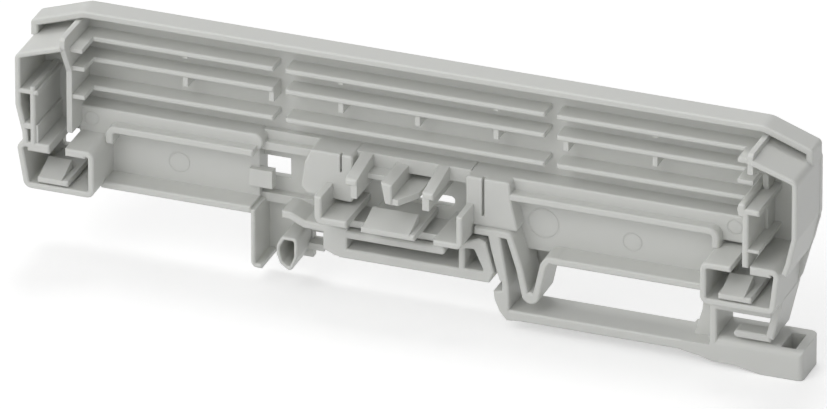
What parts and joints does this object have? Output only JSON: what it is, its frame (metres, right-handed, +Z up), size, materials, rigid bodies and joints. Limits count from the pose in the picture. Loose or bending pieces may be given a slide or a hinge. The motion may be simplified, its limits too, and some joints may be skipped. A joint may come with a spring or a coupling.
{
  "type": "rail mounted terminal carrier end cover",
  "caption": "One piece plastic end cover with board guide ribs, end sockets and a snap foot for a 35 mm rail.",
  "frame": {"origin": "middle of the rail seat, on the line where the rail's flanges touch, at the plain outer face", "axes": "+X along the cover towards the release block, +Z up away from the rail, +Y out of the plain outer face; the ribbed inner side faces -Y"},
  "size_m": [0.1415, 0.013, 0.0454],
  "materials": {
    "housing": "satin, finely eroded moulded plastic"
  },
  "bodies": {
    "root": {"end_cover": "housing"}
  },
  "joints": []
}
